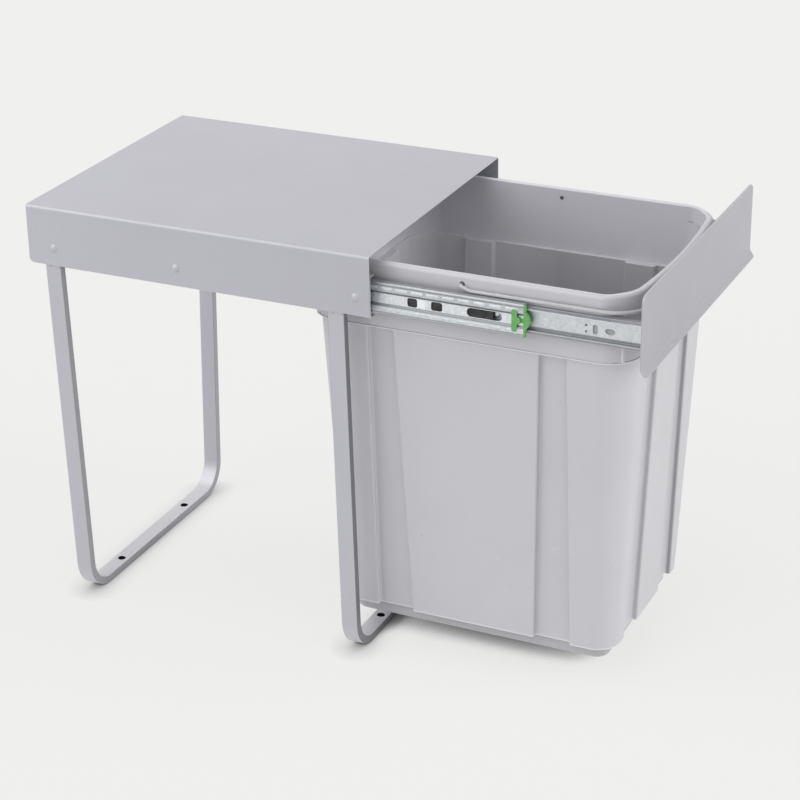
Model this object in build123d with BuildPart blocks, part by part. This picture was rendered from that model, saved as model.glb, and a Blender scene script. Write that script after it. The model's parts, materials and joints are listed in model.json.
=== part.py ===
from build123d import *
import os

os.makedirs("parts", exist_ok=True)

# Pull-out waste bin for a base unit, shown partly pulled out.
# X runs across the unit, the drawer opens towards -Y, Z = 0 is the cabinet floor.
# The origin is the middle of the four floor screws.

# Cover: one folded sheet, open at both ends
cover_width = 252.0
cover_length = 300.0
cover_height = 354.0
cover_gauge = 1.2
cover_bend_radius = 2.5
flange_depth = 48.6
flange_front_radius = 1.0
flange_rear_radius = 4.0
front_overhang = 29.0  # from the front screw line to the cover's front edge

# Leg frames: flat bar bent to a U, welded inside the flanges
leg_spacing = 250.0
bar_width = 14.0
bar_thickness = 6.5
leg_lean = 12.0
leg_bend_radius = 30.0
leg_head_gap = 8.0
leg_knee_gap = 1.2
screw_spacing = 110.0
screw_hole_diameter = 6.4

# Ball slides, three members each, measured inwards from the leg's inner face
slide_drop = 36.0  # cover top to the slide's centre line
slide_depth = 9.8
slide_gauge = 1.2
slide_bend_inside = 0.3
slide_setback = 3.0
outer_height = 33.6
outer_depth = 7.8
outer_length = 288.0
middle_height = 25.8
middle_length = 275.0
middle_setback = 8.7
middle_share = 0.6  # middle member's travel as a part of the drawer's
middle_rim_gap = 1.2  # from the outer member's web to the middle member
middle_reach = 5.4
middle_web_inset = 1.2
middle_web_half = 4.3
middle_jog_height = 1.2
inner_height = 17.6
inner_reach = 3.9
inner_length = 282.0
inner_front_gap = 1.0

# Balls and their cages
ball_diameter = 2.9
ball_clearance = 0.1
ball_pitch = 16.0
balls_per_row = 6
cage_gauge = 0.5
cage_bend_radius = 1.0
cage_gap = 0.3
cage_end_margin = 6.0
outer_ball_inset = 5.0
inner_ball_inset = 6.6
outer_cage_reach = 5.6
inner_cage_reach = 3.0
inner_cage_gap = 0.3
outer_cage_closed_y = -10.7
inner_cage_closed_y = -29.8

# Windows in the middle member and holes in the inner one, from their front ends
window_height = 7.0
window_corner_radius = 1.8
long_window = (31.6, 28.0)
short_windows = ((69.9, 9.0), (89.7, 8.0))
pilot_hole_diameter = 2.0
pilot_hole_at = 48.0
pilot_hole_rise = 2.4
upright_slot = (41.0, 7.5, 3.6)
level_slot = (29.5, 7.5, 4.4)

# End clip on the middle member
clip_proud = 0.8
clip_bar_half = 9.0
clip_bar_length = 4.4
clip_bar_setback = 5.0
clip_bar_radius = 2.0
clip_knob_radius = 2.9
clip_tail_half = 1.8
clip_tail_gauge = 0.6
clip_end_length = 1.6
clip_end_depth = 3.0
clip_end_trim = 0.4
clip_bumper_radius = 8.0
clip_bumper_setback = 3.2
clip_bumper_depth = 4.0

# Rivets
rivet_diameter = 4.0
rivet_clearance = 0.05
rivet_head_diameter = 6.8
rivet_head_rise = 1.7
rivet_foot_diameter = 6.0
rivet_rise = 2.0  # rivet line above the slide's centre line
rivet_rear_inset = 23.3
rivet_middle_inset = 134.0
rivet_front_inset = 12.0
spacer_diameter = 11.0
rail_rivet_head_diameter = 6.4
rail_rivet_head_rise = 1.2
rail_rivet_foot_rise = 1.0
rail_rivet_insets = (118.0, 258.0)

# Drawer: front plate, side rails and rear bar, spot welded together
photo_opening = 214.0  # how far the drawer stands open in this pose
closed_gap = 1.0
plate_width = 264.0
plate_gauge = 1.5
plate_rise = 4.6
plate_height = 57.6
plate_corner_radius = 7.0
plate_bend_radius = 6.0
lip_out = 4.6
lip_drop = 5.6
lip_corner_radius = 4.0
rail_gauge = 1.5
rail_height = 22.0
rail_rise = 10.0  # rail top above the slide's centre line
rail_ledge_gap = 0.6
rail_notch_length = 7.0
rail_tab_length = 20.0
rail_tab_height = 15.0
rear_bar_gap = 4.0
rear_bar_end_gap = 0.2

# Bin: moulded tub that hangs by its rim on the rails
rim_length = 271.0
rim_swell = 4.0  # how far the rim's front stands out past the collar's step
rim_front_gap = 13.5
rim_height = 15.0
rim_side_gap = 1.9
rim_corner_radius = 30.0
rim_outer_roll = 3.0
rim_inner_roll = 1.2
rim_gap = 1.6
bin_wall = 2.2
bin_floor = 2.5
bin_bottom = 22.5
plinth_height = 12.5
plinth_inset = 9.0
plinth_chamfer = 2.0
collar_depth = 40.0
collar_step = 2.5
collar_rib_width = 2.6
collar_rib_proud = 1.4
body_taper_x = 15.8
body_taper_y = 10.7
body_foot_radius = 20.0
channel_depth = 4.5
channel_head_width = 21.0
channel_foot_width = 30.0
channel_edge_radius = 1.6
side_channel_head_inset = 58.7  # from the body's end face to the channel's middle
side_channel_foot_inset = 51.0
end_channel_head_inset = 63.6
end_channel_foot_inset = 43.0

# Bail handle: bent wire hooked into the rim
wire_diameter = 3.0
bail_side_gap = 0.5
bail_front_gap = 1.0
bail_ledge_gap = 2.6
bail_pivot_rise = 7.0  # pivot above the rail's top
bail_run_in = 8.0
bail_hook_radius = 1.8
bail_step_radius = 5.0
bail_pin_clearance = 0.05

# Places worked out from the sizes above
flange_inner_x = cover_width / 2 - cover_gauge
slide_face_x = flange_inner_x - bar_thickness
rail_outer_x = slide_face_x - slide_depth
rail_inner_x = rail_outer_x - rail_gauge
cover_front_y = -leg_spacing / 2 - front_overhang
cover_rear_y = cover_front_y + cover_length
slide_z = cover_height - slide_drop
rivet_z = slide_z + rivet_rise
rail_top_z = slide_z + rail_rise
plate_back_y = cover_front_y - closed_gap - photo_opening
outer_front_y = cover_front_y + slide_setback
middle_front_y = cover_front_y + middle_setback - middle_share * photo_opening
inner_front_y = plate_back_y + inner_front_gap
rim_half_x = rail_outer_x - rim_side_gap
rim_front_y = plate_back_y + rim_front_gap
bin_y = rim_front_y + rim_length / 2
rim_top_z = rail_top_z + rim_height
collar_half_x = rim_half_x - bin_wall - rim_gap
collar_half_y = rim_length / 2 - bin_wall - rim_gap
collar_bottom_z = rail_top_z - collar_depth
rail_ledge_x = collar_half_x + rail_ledge_gap
rear_bar_front_y = rim_front_y + rim_length + rear_bar_gap
rivet_places_y = (
    cover_rear_y - rivet_rear_inset,
    cover_rear_y - rivet_middle_inset,
    cover_front_y + rivet_front_inset,
)
rivet_hole_radius = rivet_diameter / 2 + rivet_clearance
slide_bend_radius = slide_gauge + slide_bend_inside
ball_radius = ball_diameter / 2
groove_radius = ball_radius + ball_clearance
outer_row = (outer_height / 2 - slide_gauge + middle_height / 2) / 2
inner_row = (middle_height / 2 - slide_gauge + inner_height / 2) / 2
middle_face = slide_gauge + middle_rim_gap
inner_web = slide_depth - slide_gauge


def across(inset):
    """X on the left slide, from a distance inwards of the leg's inner face."""
    return inset - slide_face_x


def section_at(rear_y):
    """Upright sketch plane across the unit; a sketch on it is extruded to the front."""
    return Plane.XZ.offset(-rear_y)


def write(part, name):
    part.label = name
    export_step(part, f"parts/{name}.step")


def write_pair(left_part, name):
    write(left_part, f"{name}_left")
    with BuildPart() as right:
        mirror(left_part, about=Plane.YZ)
    write(right.part, f"{name}_right")


def slide_outline(points):
    """Slide section points, as inset and height, in the sketch plane."""
    return [(across(inset), slide_z + height) for inset, height in points]


def ball_grooves(inset, row):
    with Locations(*slide_outline([(inset, row), (inset, -row)])):
        Circle(groove_radius, mode=Mode.SUBTRACT)


def ball_places(inset, row, middle_y):
    first_y = middle_y - ball_pitch * (balls_per_row - 1) / 2
    ys = [first_y + ball_pitch * number for number in range(balls_per_row)]
    return [(across(inset), y, slide_z + side * row) for y in ys for side in (1, -1)]


# Cover
with BuildPart() as cover:
    with BuildSketch(section_at(cover_rear_y)):
        with BuildLine():
            flange_z = cover_height - flange_depth
            FilletPolyline(
                (-cover_width / 2, flange_z),
                (-cover_width / 2, cover_height),
                (cover_width / 2, cover_height),
                (cover_width / 2, flange_z),
                radius=cover_bend_radius,
            )
            offset(amount=cover_gauge, side=Side.RIGHT)
        make_face()
    extrude(amount=cover_length)
    flange_corners = cover.edges().filter_by(Axis.X).group_by(Axis.Z)[0].group_by(Axis.Y)
    fillet(flange_corners[0], radius=flange_front_radius)
    fillet(flange_corners[-1], radius=flange_rear_radius)
    with Locations(*[(0, y, rivet_z) for y in rivet_places_y]):
        Cylinder(rivet_hole_radius, cover_width * 2, rotation=(0, 90, 0), mode=Mode.SUBTRACT)
write(cover.part, "cover")

# Leg frames
leg_top_z = cover_height - cover_gauge - leg_head_gap
leg_knee_z = slide_z - outer_height / 2 - leg_knee_gap
for name, frame_y in (("front", -leg_spacing / 2), ("rear", leg_spacing / 2)):
    with BuildPart() as leg_frame:
        for top_x, foot_z, bend_radius, mode in (
            (flange_inner_x, 0, leg_bend_radius, Mode.ADD),
            (slide_face_x, bar_thickness, leg_bend_radius - bar_thickness, Mode.SUBTRACT),
        ):
            foot_x = top_x - leg_lean
            with BuildSketch(section_at(frame_y + bar_width / 2)) as side:
                with BuildLine():
                    Polyline(
                        (-top_x, leg_top_z),
                        (-top_x, leg_knee_z),
                        (-foot_x, foot_z),
                        (foot_x, foot_z),
                        (top_x, leg_knee_z),
                        (top_x, leg_top_z),
                        close=True,
                    )
                make_face()
                fillet(side.vertices().group_by(Axis.Y)[0], radius=bend_radius)
            extrude(amount=bar_width, mode=mode)
        with Locations((0, frame_y, bar_thickness)):
            with GridLocations(screw_spacing, 1, 2, 1):
                Hole(screw_hole_diameter / 2, depth=bar_thickness)
        if name == "rear":
            with Locations((0, rivet_places_y[0], rivet_z)):
                Cylinder(rivet_hole_radius, cover_width, rotation=(0, 90, 0), mode=Mode.SUBTRACT)
    write(leg_frame.part, f"leg_frame_{name}")

# Slide outer member: a channel open towards the bin, with flared rivet holes
with BuildPart() as slide_outer:
    with BuildSketch(section_at(outer_front_y + outer_length)):
        with BuildLine():
            half = outer_height / 2
            corners = [(outer_depth, half), (0, half), (0, -half), (outer_depth, -half)]
            FilletPolyline(*slide_outline(corners), radius=slide_bend_radius)
            offset(amount=slide_gauge, side=Side.LEFT)
        make_face()
        ball_grooves(outer_ball_inset, outer_row)
    extrude(amount=outer_length)
    with Locations(*[(across(slide_gauge / 2), y, rivet_z) for y in rivet_places_y]):
        Cone(
            rivet_hole_radius,
            rivet_foot_diameter / 2 + rivet_clearance,
            slide_gauge,
            rotation=(0, 90, 0),
            mode=Mode.SUBTRACT,
        )
write_pair(slide_outer.part, "slide_outer")

# Slide middle member: a flat channel with a sunk web and windows
web_inset = middle_face + middle_web_inset
jog_half = middle_web_half + middle_jog_height
middle_tip = middle_face + middle_reach
with BuildPart() as slide_middle:
    with BuildSketch(section_at(middle_front_y + middle_length)):
        with BuildLine():
            half = middle_height / 2
            corners = [
                (middle_tip, half),
                (middle_face, half),
                (middle_face, jog_half),
                (web_inset, middle_web_half),
                (web_inset, -middle_web_half),
                (middle_face, -jog_half),
                (middle_face, -half),
                (middle_tip, -half),
            ]
            FilletPolyline(*slide_outline(corners), radius=slide_bend_radius)
            offset(amount=slide_gauge, side=Side.LEFT)
        make_face()
        ball_grooves(outer_ball_inset, outer_row)
        ball_grooves(inner_ball_inset, inner_row)
    extrude(amount=middle_length)
    with BuildSketch(Plane.YZ.offset(across(web_inset + slide_gauge / 2))):
        start, length = long_window
        with Locations((middle_front_y + start, slide_z)):
            SlotOverall(length, window_height)
        for start, length in short_windows:
            with Locations((middle_front_y + start, slide_z)):
                RectangleRounded(length, window_height, window_corner_radius)
    extrude(amount=slide_gauge, both=True, mode=Mode.SUBTRACT)
write_pair(slide_middle.part, "slide_middle")

# End clip: a bar with a knob, a tail in the sunk web, an end piece and a round bumper
clip_face = middle_face - clip_proud
with BuildPart() as slide_clip:
    clip_bar_y = middle_front_y + clip_bar_setback
    with BuildSketch(Plane.YZ.offset(across(clip_face))):
        with Locations((clip_bar_y + clip_bar_length / 2, slide_z)):
            RectangleRounded(clip_bar_length, 2 * clip_bar_half, clip_bar_radius)
        with Locations((clip_bar_y, slide_z)):
            Circle(clip_knob_radius)
    extrude(amount=clip_proud)
    with BuildSketch(Plane.YZ.offset(across(clip_face))):
        with Locations((clip_bar_y + clip_bar_length / 2, slide_z)):
            Rectangle(clip_bar_length, 2 * clip_tail_half)
    extrude(amount=web_inset - clip_face)
    with BuildSketch(Plane.YZ.offset(across(web_inset))):
        with Locations((middle_front_y + clip_bar_setback / 2, slide_z)):
            Rectangle(clip_bar_setback, 2 * clip_tail_half)
    extrude(amount=-clip_tail_gauge)
    with BuildSketch(Plane.YZ.offset(across(clip_face))):
        with Locations((middle_front_y - clip_end_length / 2, slide_z)):
            Rectangle(clip_end_length, middle_height - 2 * clip_end_trim)
    extrude(amount=clip_end_depth)
    with BuildSketch(Plane.YZ.offset(across(clip_face))):
        with Locations((middle_front_y + clip_bumper_setback, slide_z)):
            Circle(clip_bumper_radius)
        with Locations((middle_front_y + 2 * clip_bumper_radius, slide_z)):
            Rectangle(4 * clip_bumper_radius, 2 * clip_bumper_radius, mode=Mode.SUBTRACT)
    extrude(amount=clip_bumper_depth)
write_pair(slide_clip.part, "slide_clip")

# Slide inner member: a channel open towards the cover, screwed to the side rail
with BuildPart() as slide_inner:
    with BuildSketch(section_at(inner_front_y + inner_length)):
        with BuildLine():
            half = inner_height / 2
            tip = slide_depth - inner_reach
            corners = [(tip, half), (slide_depth, half), (slide_depth, -half), (tip, -half)]
            FilletPolyline(*slide_outline(corners), radius=slide_bend_radius)
            offset(amount=slide_gauge, side=Side.RIGHT)
        make_face()
        ball_grooves(inner_ball_inset, inner_row)
    extrude(amount=inner_length)
    with BuildSketch(Plane.YZ.offset(across(inner_web + slide_gauge / 2))):
        start, length, width = level_slot
        with Locations((inner_front_y + start, slide_z)):
            SlotOverall(length, width)
        start, length, width = upright_slot
        with Locations((inner_front_y + start, slide_z)):
            SlotOverall(length, width, rotation=90)
        with Locations((inner_front_y + pilot_hole_at, slide_z)):
            with GridLocations(1, 2 * pilot_hole_rise, 1, 2):
                Circle(pilot_hole_diameter / 2)
        with Locations(*[(inner_front_y + inset, slide_z) for inset in rail_rivet_insets]):
            Circle(rivet_hole_radius)
    extrude(amount=slide_gauge, both=True, mode=Mode.SUBTRACT)
write_pair(slide_inner.part, "slide_inner")

# Ball cages and balls, carried between the members at half their speed
cage_length = ball_pitch * (balls_per_row - 1) + ball_diameter + 2 * cage_end_margin
outer_cage_y = outer_cage_closed_y - photo_opening * middle_share / 2
inner_cage_y = inner_cage_closed_y - photo_opening * (1 + middle_share) / 2
outer_cage_face = slide_gauge + cage_gap
inner_cage_face = web_inset + slide_gauge + inner_cage_gap
for name, face, reach, ball_inset, row, middle_y in (
    ("outer", outer_cage_face, outer_cage_reach, outer_ball_inset, outer_row, outer_cage_y),
    ("inner", inner_cage_face, inner_cage_reach, inner_ball_inset, inner_row, inner_cage_y),
):
    places = ball_places(ball_inset, row, middle_y)
    with BuildPart() as cage:
        with BuildSketch(section_at(middle_y + cage_length / 2)):
            with BuildLine():
                half = row + cage_gauge / 2
                corners = [(face + reach, half), (face, half), (face, -half), (face + reach, -half)]
                FilletPolyline(*slide_outline(corners), radius=cage_bend_radius)
                offset(amount=cage_gauge, side=Side.LEFT)
            make_face()
        extrude(amount=cage_length)
        with Locations(*places):
            Cylinder(groove_radius, 2 * ball_diameter, mode=Mode.SUBTRACT)
    write_pair(cage.part, f"{name}_cage")
    with BuildPart() as balls:
        with Locations(*places):
            Sphere(ball_radius)
    write_pair(balls.part, f"{name}_balls")

# Rivets through the flange, the leg or spacer and the slide
with BuildPart() as cover_rivet:
    with BuildSketch(Plane.XZ):
        with BuildLine():
            head_x = -cover_width / 2
            shank_z = rivet_z + rivet_diameter / 2
            head = TangentArc(
                (head_x - rivet_head_rise, rivet_z),
                (head_x, rivet_z + rivet_head_diameter / 2),
                tangent=(0, 1),
            )
            Polyline(
                head @ 1,
                (head_x, shank_z),
                (across(0), shank_z),
                (across(slide_gauge), rivet_z + rivet_foot_diameter / 2),
                (across(slide_gauge), rivet_z),
                head @ 0,
            )
        make_face()
    revolve(axis=Axis((0, 0, rivet_z), (1, 0, 0)))
with BuildPart() as cover_rivets:
    with Locations(*[(0, y, 0) for y in rivet_places_y]):
        add(cover_rivet.part)
    mirror(about=Plane.YZ)
write(cover_rivets.part, "cover_rivets")

# Spacers where a rivet does not pass through a leg
with BuildPart() as slide_spacers:
    spacer_x = (flange_inner_x + slide_face_x) / 2
    with Locations(*[(side * spacer_x, y, rivet_z) for y in rivet_places_y[1:] for side in (-1, 1)]):
        Cylinder(spacer_diameter / 2, bar_thickness, rotation=(0, 90, 0))
        Cylinder(rivet_hole_radius, bar_thickness, rotation=(0, 90, 0), mode=Mode.SUBTRACT)
write(slide_spacers.part, "slide_spacers")

# Side rails: an angle with its ledge inwards and a tab on the front plate
rail_bottom_z = rail_top_z - rail_height
rail_length = rear_bar_front_y - plate_back_y
with BuildPart() as side_rail:
    with BuildSketch(section_at(rear_bar_front_y)):
        with BuildLine():
            Polyline(
                (-rail_outer_x, rail_bottom_z),
                (-rail_outer_x, rail_top_z),
                (-rail_ledge_x, rail_top_z),
            )
            offset(amount=rail_gauge, side=Side.RIGHT)
        make_face()
    extrude(amount=rail_length)
    ledge_middle_x = -(rail_inner_x + rail_ledge_x) / 2
    with Locations((ledge_middle_x, plate_back_y + rail_notch_length / 2, rail_top_z - rail_gauge / 2)):
        Box(rail_inner_x - rail_ledge_x, rail_notch_length, rail_gauge, mode=Mode.SUBTRACT)
    with Locations((-rail_inner_x + rail_tab_length / 2, plate_back_y + rail_gauge / 2, slide_z)):
        Box(rail_tab_length, rail_gauge, rail_tab_height)
    with Locations(*[(-rail_outer_x, inner_front_y + inset, slide_z) for inset in rail_rivet_insets]):
        Cylinder(rivet_hole_radius, 4 * rail_gauge, rotation=(0, 90, 0), mode=Mode.SUBTRACT)
write_pair(side_rail.part, "side_rail")

# Rivets that hold the inner members to the side rails
with BuildPart() as rail_rivet:
    with BuildSketch(Plane.XZ):
        with BuildLine():
            head_x = across(inner_web)
            head_z = slide_z + rail_rivet_head_diameter / 2
            shank_z = slide_z + rivet_diameter / 2
            head = TangentArc(
                (head_x - rail_rivet_head_rise, slide_z),
                (head_x, head_z),
                tangent=(0, 1),
            )
            Polyline(
                head @ 1,
                (head_x, shank_z),
                (-rail_inner_x, shank_z),
                (-rail_inner_x, head_z),
                (-rail_inner_x + rail_rivet_foot_rise, shank_z),
                (-rail_inner_x + rail_rivet_foot_rise, slide_z),
                head @ 0,
            )
        make_face()
    revolve(axis=Axis((0, 0, slide_z), (1, 0, 0)))
with BuildPart() as rail_rivets:
    with Locations(*[(0, inner_front_y + inset, 0) for inset in rail_rivet_insets]):
        add(rail_rivet.part)
    mirror(about=Plane.YZ)
write(rail_rivets.part, "rail_rivets")

# Front plate with its lower edge bent out as a pull
plate_top_z = cover_height + plate_rise
plate_bend_z = plate_top_z - plate_height
with BuildPart() as front_plate:
    with BuildSketch(Plane.YZ):
        with BuildLine():
            FilletPolyline(
                (plate_back_y, plate_top_z),
                (plate_back_y, plate_bend_z),
                (plate_back_y - lip_out, plate_bend_z - lip_drop),
                radius=plate_bend_radius + plate_gauge,
            )
            offset(amount=plate_gauge, side=Side.RIGHT)
        make_face()
    extrude(amount=plate_width / 2, both=True)
    top_corners = front_plate.edges().filter_by(Axis.Y).group_by(Axis.Z)[-1]
    fillet(top_corners, radius=plate_corner_radius)
    lip_face = front_plate.faces().sort_by(Axis.Z)[0]
    fillet(lip_face.edges().filter_by(Axis.X, reverse=True), radius=lip_corner_radius)
write(front_plate.part, "front_plate")

# Rear bar: an angle across the rear ends of the rails
with BuildPart() as rear_bar:
    rear_ledge_front_y = bin_y + collar_half_y + rail_ledge_gap
    with Locations((0, rear_bar_front_y + rail_gauge / 2, rail_top_z - rail_height / 2)):
        Box(2 * rail_outer_x, rail_gauge, rail_height)
    ledge_width = 2 * (rail_ledge_x - rear_bar_end_gap)
    ledge_length = rear_bar_front_y - rear_ledge_front_y
    with Locations((0, rear_bar_front_y - ledge_length / 2, rail_top_z - rail_gauge / 2)):
        Box(ledge_width, ledge_length, rail_gauge)
write(rear_bar.part, "rear_bar")

# Bin
collar_radius = rim_corner_radius - bin_wall - rim_gap
plinth_top_z = bin_bottom + plinth_height
body_top_x = collar_half_x - collar_step
body_top_y = collar_half_y - collar_step
body_foot_x = body_top_x - body_taper_x
body_foot_y = body_top_y - body_taper_y
bail_pivot_z = rail_top_z + bail_pivot_rise


def bin_plane(height):
    return Plane((0, bin_y, height))


def rim_plane(height):
    return Plane((0, bin_y - rim_swell / 2, height))


def body_section(height, half_x, half_y, radius, width, side_inset, end_inset, shrink):
    """Tub section with two upright channels sunk in each side and in each end."""
    side_y = half_y - side_inset
    end_x = half_x - end_inset
    cut = channel_depth + shrink
    with BuildSketch(bin_plane(height)) as outline:
        RectangleRounded(2 * (half_x - shrink), 2 * (half_y - shrink), radius - shrink)
        with Locations((-half_x, 0), (half_x, 0)):
            with GridLocations(1, 2 * side_y, 1, 2):
                Rectangle(2 * cut, width + 2 * shrink, mode=Mode.SUBTRACT)
        with Locations((0, -half_y), (0, half_y)):
            with GridLocations(2 * end_x, 1, 2, 1):
                Rectangle(width + 2 * shrink, 2 * cut, mode=Mode.SUBTRACT)
        straight_x = half_x - radius - channel_edge_radius
        straight_y = half_y - radius - channel_edge_radius
        corners = outline.vertices().filter_by(lambda v: abs(v.X) < straight_x or abs(v.Y) < straight_y)
        fillet(corners, radius=channel_edge_radius)
    return outline.sketch.face()


def tub(bottom_z, top_z, shrink, mode):
    foot = body_section(
        bottom_z,
        body_foot_x,
        body_foot_y,
        body_foot_radius,
        channel_foot_width,
        side_channel_foot_inset,
        end_channel_foot_inset,
        shrink,
    )
    head = body_section(
        top_z,
        body_top_x,
        body_top_y,
        collar_radius,
        channel_head_width,
        side_channel_head_inset,
        end_channel_head_inset,
        shrink,
    )
    loft([foot, head], ruled=True, mode=mode)


with BuildPart() as waste_bin:
    tub(plinth_top_z, collar_bottom_z, 0, Mode.ADD)
    plinth_x = body_foot_x - plinth_inset
    plinth_y = body_foot_y - plinth_inset
    plinth_radius = body_foot_radius - plinth_inset
    with BuildSketch(bin_plane(bin_bottom)):
        RectangleRounded(2 * plinth_x, 2 * plinth_y, plinth_radius)
    extrude(amount=plinth_height)
    chamfer(waste_bin.faces().sort_by(Axis.Z)[0].edges(), length=plinth_chamfer)
    with BuildSketch(bin_plane(collar_bottom_z)):
        RectangleRounded(2 * collar_half_x, 2 * collar_half_y, collar_radius)
    extrude(amount=rim_top_z - collar_bottom_z)
    with BuildSketch(rim_plane(rail_top_z)):
        RectangleRounded(2 * rim_half_x, rim_length + rim_swell, rim_corner_radius)
    extrude(amount=rim_height)
    with BuildSketch(rim_plane(rail_top_z)):
        skirt_x = rim_half_x - bin_wall
        skirt_y = (rim_length + rim_swell) / 2 - bin_wall
        upper_half_y = collar_half_y + rim_swell / 2
        RectangleRounded(2 * skirt_x, 2 * skirt_y, rim_corner_radius - bin_wall)
        RectangleRounded(2 * collar_half_x, 2 * upper_half_y, collar_radius, mode=Mode.SUBTRACT)
    extrude(amount=rim_height - bin_wall, mode=Mode.SUBTRACT)
    with BuildSketch(bin_plane(collar_bottom_z)):
        with GridLocations(2 * (collar_half_x - collar_radius), 2 * (collar_half_y - collar_radius), 2, 2):
            for turn in (45, -45):
                Rectangle(2 * (collar_radius + collar_rib_proud), collar_rib_width, rotation=turn)
    extrude(amount=collar_depth)
    tub(plinth_top_z + bin_wall, collar_bottom_z + bin_wall, bin_wall, Mode.SUBTRACT)
    with BuildSketch(bin_plane(bin_bottom + bin_floor)):
        RectangleRounded(2 * (plinth_x - bin_wall), 2 * (plinth_y - bin_wall), plinth_radius - bin_wall)
    extrude(amount=plinth_height, mode=Mode.SUBTRACT)
    with BuildSketch(bin_plane(collar_bottom_z + bin_wall)):
        mouth_x = collar_half_x - bin_wall
        mouth_y = collar_half_y - bin_wall
        RectangleRounded(2 * mouth_x, 2 * mouth_y, collar_radius - bin_wall)
    extrude(amount=rim_top_z - collar_bottom_z, mode=Mode.SUBTRACT)
    with BuildSketch(rim_plane(rail_top_z + bin_wall)):
        RectangleRounded(2 * mouth_x, 2 * mouth_y + rim_swell, collar_radius - bin_wall)
    extrude(amount=rim_height, mode=Mode.SUBTRACT)
    rim_top = waste_bin.faces().sort_by(Axis.Z)[-1]
    fillet(rim_top.outer_wire().edges(), radius=rim_outer_roll)
    rim_top = waste_bin.faces().sort_by(Axis.Z)[-1]
    fillet(rim_top.inner_wires()[0].edges(), radius=rim_inner_roll)
    with Locations((0, bin_y, bail_pivot_z)):
        Cylinder(
            wire_diameter / 2 + bail_pin_clearance,
            cover_width,
            rotation=(0, 90, 0),
            mode=Mode.SUBTRACT,
        )
write(waste_bin.part, "bin")

# Bail handle, folded down to the front
bail_x = rim_half_x + bail_side_gap + wire_diameter / 2
bail_front_y = rim_front_y - rim_swell - bail_front_gap - wire_diameter / 2
bail_z = rail_top_z + bail_ledge_gap + wire_diameter / 2
bail_corner_radius = rim_corner_radius + bail_front_gap
with BuildPart() as bail_handle:
    with BuildLine() as bail_path:
        hook_x = collar_half_x - bin_wall
        FilletPolyline(
            (-hook_x, bin_y, bail_pivot_z),
            (-bail_x, bin_y, bail_pivot_z),
            (-bail_x, bin_y - bail_run_in, bail_z),
            (-bail_x, bail_front_y, bail_z),
            (bail_x, bail_front_y, bail_z),
            (bail_x, bin_y - bail_run_in, bail_z),
            (bail_x, bin_y, bail_pivot_z),
            (hook_x, bin_y, bail_pivot_z),
            radius=[
                bail_hook_radius,
                bail_step_radius,
                bail_corner_radius,
                bail_corner_radius,
                bail_step_radius,
                bail_hook_radius,
            ],
        )
    with BuildSketch(Plane(bail_path.line @ 0, z_dir=bail_path.line % 0)):
        Circle(wire_diameter / 2)
    sweep()
write(bail_handle.part, "bail_handle")
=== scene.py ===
import json
import math
import bpy
from mathutils import Matrix, Vector

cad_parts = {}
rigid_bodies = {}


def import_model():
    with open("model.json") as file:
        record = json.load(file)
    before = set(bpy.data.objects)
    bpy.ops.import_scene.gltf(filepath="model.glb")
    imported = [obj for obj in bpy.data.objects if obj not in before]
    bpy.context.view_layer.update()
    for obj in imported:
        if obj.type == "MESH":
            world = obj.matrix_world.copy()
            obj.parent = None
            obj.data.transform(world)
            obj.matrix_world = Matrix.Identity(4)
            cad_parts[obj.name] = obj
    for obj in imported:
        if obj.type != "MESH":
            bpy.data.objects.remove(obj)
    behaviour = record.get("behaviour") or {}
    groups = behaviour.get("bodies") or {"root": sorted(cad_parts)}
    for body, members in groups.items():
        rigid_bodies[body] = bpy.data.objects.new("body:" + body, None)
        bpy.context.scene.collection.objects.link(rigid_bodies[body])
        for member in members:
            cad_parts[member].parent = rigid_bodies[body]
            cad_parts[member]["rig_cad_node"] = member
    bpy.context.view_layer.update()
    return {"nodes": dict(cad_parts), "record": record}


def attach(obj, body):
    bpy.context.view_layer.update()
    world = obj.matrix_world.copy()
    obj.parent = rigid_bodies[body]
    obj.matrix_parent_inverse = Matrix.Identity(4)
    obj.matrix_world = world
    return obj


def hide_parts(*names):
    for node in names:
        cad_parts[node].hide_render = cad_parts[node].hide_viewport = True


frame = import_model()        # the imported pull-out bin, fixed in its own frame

nodes = frame["nodes"]
record = frame["record"]
bodyOf = {node: body for body, members in record["behaviour"]["bodies"].items() for node in members}
slotOf = {part["node"]: part["material_slot"] for part in record["subparts"]}
mm = 0.001
sides = ("left", "right")
legLine = 125.0 * mm     # the leg frames stand this far in front of and behind the origin
white = (1, 1, 1, 1)
black = (0, 0, 0, 1)
scene = bpy.context.scene
scene.view_settings.view_transform = "Standard"
print("frame loaded with", len(nodes), "nodes")


# Small helpers for selecting and finishing

plainCrease = 35         # degrees, past which an edge stays sharp in smooth shading


def pickNothing():
    bpy.ops.object.select_all(action="DESELECT")


def pickOnly(piece):
    pickNothing()
    piece.select_set(True)
    bpy.context.view_layer.objects.active = piece


def applyAll(piece):
    pickOnly(piece)
    for modifier in list(piece.modifiers):
        bpy.ops.object.modifier_apply(modifier=modifier.name)


def addModifier(piece, kind, **settings):
    modifier = piece.modifiers.new(kind.title(), kind)
    for key, value in settings.items():
        setattr(modifier, key, value)


def finishPiece(piece, name, body, material, crease=plainCrease):
    pickOnly(piece)
    bpy.ops.object.transform_apply(location=True, rotation=True, scale=True)
    bpy.ops.object.shade_smooth_by_angle(angle=math.radians(crease))
    piece.name = name
    piece.data.name = name
    piece.data.materials.clear()
    piece.data.materials.append(material)
    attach(piece, body)


# Small helpers for shader nodes

mixSockets = {"factor": 0, "first": 6, "second": 7, "result": 2}  # places of a Mix node's colour sockets


def addNode(tree, kind, settings=None, sockets=None):
    node = tree.nodes.new("ShaderNode" + kind)
    for key, value in (settings or {}).items():
        setattr(node, key, value)
    for key, value in (sockets or {}).items():
        node.inputs[key].default_value = value
    return node


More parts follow.
